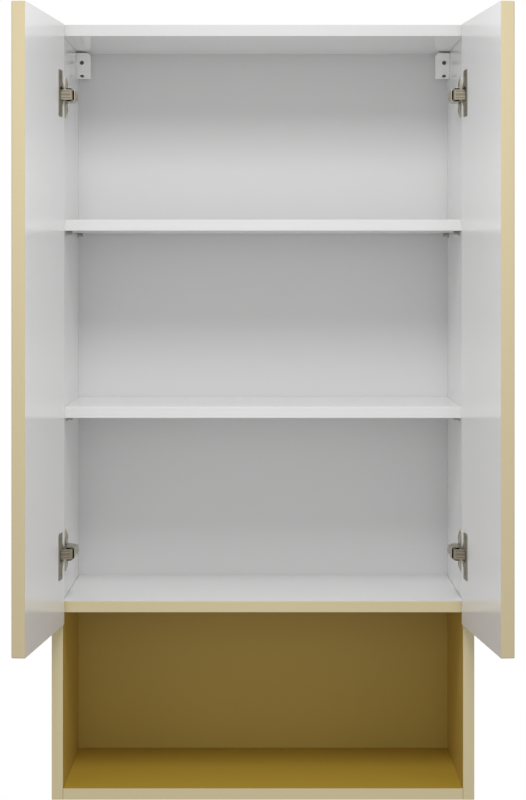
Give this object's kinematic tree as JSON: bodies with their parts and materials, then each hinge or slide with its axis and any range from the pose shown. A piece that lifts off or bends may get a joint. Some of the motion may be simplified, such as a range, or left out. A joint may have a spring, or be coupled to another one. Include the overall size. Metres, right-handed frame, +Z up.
{
  "type": "wall cabinet",
  "caption": "Tall narrow wall cabinet: a pair of khaki doors with white inner faces on concealed hinges, loose white shelves on pins behind them, and an open khaki niche below.",
  "frame": {"origin": "on the wall plane, at the bottom of the cabinet, in the middle of its width", "axes": "+Z up, +X to the right seen from the front, -Y out of the wall toward the user"},
  "size_m": [0.6504, 0.6041, 1.1],
  "materials": {
    "khaki_board": "satin khaki lacquer on board",
    "white_board": "satin white melamine on board",
    "nickel": "nickel-plated pressed steel",
    "zinc": "bright zinc-plated steel",
    "white_plastic": "moulded white plastic",
    "beech": "raw beech"
  },
  "bodies": {
    "carcass": {"side_panel_left": "khaki_board", "side_panel_right": "khaki_board", "top_panel": "white_board", "divider_panel": "khaki_board", "bottom_panel": "khaki_board", "back_panel": "white_board", "niche_back_panel": "khaki_board", "dowel_top_left_front": "beech", "dowel_top_left_rear": "beech", "dowel_top_right_front": "beech", "dowel_top_right_rear": "beech", "dowel_divider_left_front": "beech", "dowel_divider_left_rear": "beech", "dowel_divider_right_front": "beech", "dowel_divider_right_rear": "beech", "dowel_bottom_left_front": "beech", "dowel_bottom_left_rear": "beech", "dowel_bottom_right_front": "beech", "dowel_bottom_right_rear": "beech", "upper_shelf": "white_board", "lower_shelf": "white_board", "shelf_pin_upper_left_front": "zinc", "shelf_pin_upper_left_rear": "zinc", "shelf_pin_upper_right_front": "zinc", "shelf_pin_upper_right_rear": "zinc", "shelf_pin_lower_left_front": "zinc", "shelf_pin_lower_left_rear": "zinc", "shelf_pin_lower_right_front": "zinc", "shelf_pin_lower_right_rear": "zinc", "hinge_plate_left_upper": "nickel", "hinge_arm_left_upper": "nickel", "hinge_pin_left_upper": "nickel", "hinge_plate_left_lower": "nickel", "hinge_arm_left_lower": "nickel", "hinge_pin_left_lower": "nickel", "hinge_plate_right_upper": "nickel", "hinge_arm_right_upper": "nickel", "hinge_pin_right_upper": "nickel", "hinge_plate_right_lower": "nickel", "hinge_arm_right_lower": "nickel", "hinge_pin_right_lower": "nickel", "hanger_case_left": "white_plastic", "hanger_depth_screw_left": "zinc", "hanger_lift_screw_left": "zinc", "hanger_case_right": "white_plastic", "hanger_depth_screw_right": "zinc", "hanger_lift_screw_right": "zinc"},
    "left_door": {"door_left": "khaki_board", "hinge_cup_left_upper": "nickel", "hinge_cup_left_lower": "nickel"},
    "right_door": {"door_right": "khaki_board", "hinge_cup_right_upper": "nickel", "hinge_cup_right_lower": "nickel"},
    "left_upper_link": {"hinge_link_left_upper": "nickel"},
    "left_lower_link": {"hinge_link_left_lower": "nickel"},
    "right_upper_link": {"hinge_link_right_upper": "nickel"},
    "right_lower_link": {"hinge_link_right_lower": "nickel"},
    "left_hook": {"hanger_hook_left": "zinc"},
    "right_hook": {"hanger_hook_right": "zinc"}
  },
  "joints": [
    {"name": "left_door_swing", "type": "hinge", "parent": "carcass", "child": "left_door", "pos_m": [-0.2929, -0.313, 0.675], "axis": [0, 0, 1], "range_deg": [0, 95]},
    {"name": "right_door_swing", "type": "hinge", "parent": "carcass", "child": "right_door", "pos_m": [0.2929, -0.313, 0.675], "axis": [0, 0, -1], "range_deg": [0, 95]},
    {"name": "left_upper_link_swing", "type": "hinge", "parent": "carcass", "child": "left_upper_link", "pos_m": [-0.272, -0.3025, 1], "axis": [0, 0, -1], "range_deg": [0, 38]},
    {"name": "left_lower_link_swing", "type": "hinge", "parent": "carcass", "child": "left_lower_link", "pos_m": [-0.272, -0.3025, 0.35], "axis": [0, 0, -1], "range_deg": [0, 38]},
    {"name": "right_upper_link_swing", "type": "hinge", "parent": "carcass", "child": "right_upper_link", "pos_m": [0.272, -0.3025, 1], "axis": [0, 0, 1], "range_deg": [0, 38]},
    {"name": "right_lower_link_swing", "type": "hinge", "parent": "carcass", "child": "right_lower_link", "pos_m": [0.272, -0.3025, 0.35], "axis": [0, 0, 1], "range_deg": [0, 38]},
    {"name": "left_hook_lift", "type": "slide", "parent": "carcass", "child": "left_hook", "axis": [0, 0, 1], "range_m": [-0.005, 0.005]},
    {"name": "right_hook_lift", "type": "slide", "parent": "carcass", "child": "right_hook", "axis": [0, 0, 1], "range_m": [-0.005, 0.005]}
  ],
  "couplings": [
    {"joint": "left_upper_link_swing", "follows": "left_door_swing", "ratio": 0.39979},
    {"joint": "left_lower_link_swing", "follows": "left_door_swing", "ratio": 0.39979},
    {"joint": "right_upper_link_swing", "follows": "right_door_swing", "ratio": 0.39979},
    {"joint": "right_lower_link_swing", "follows": "right_door_swing", "ratio": 0.39979}
  ]
}
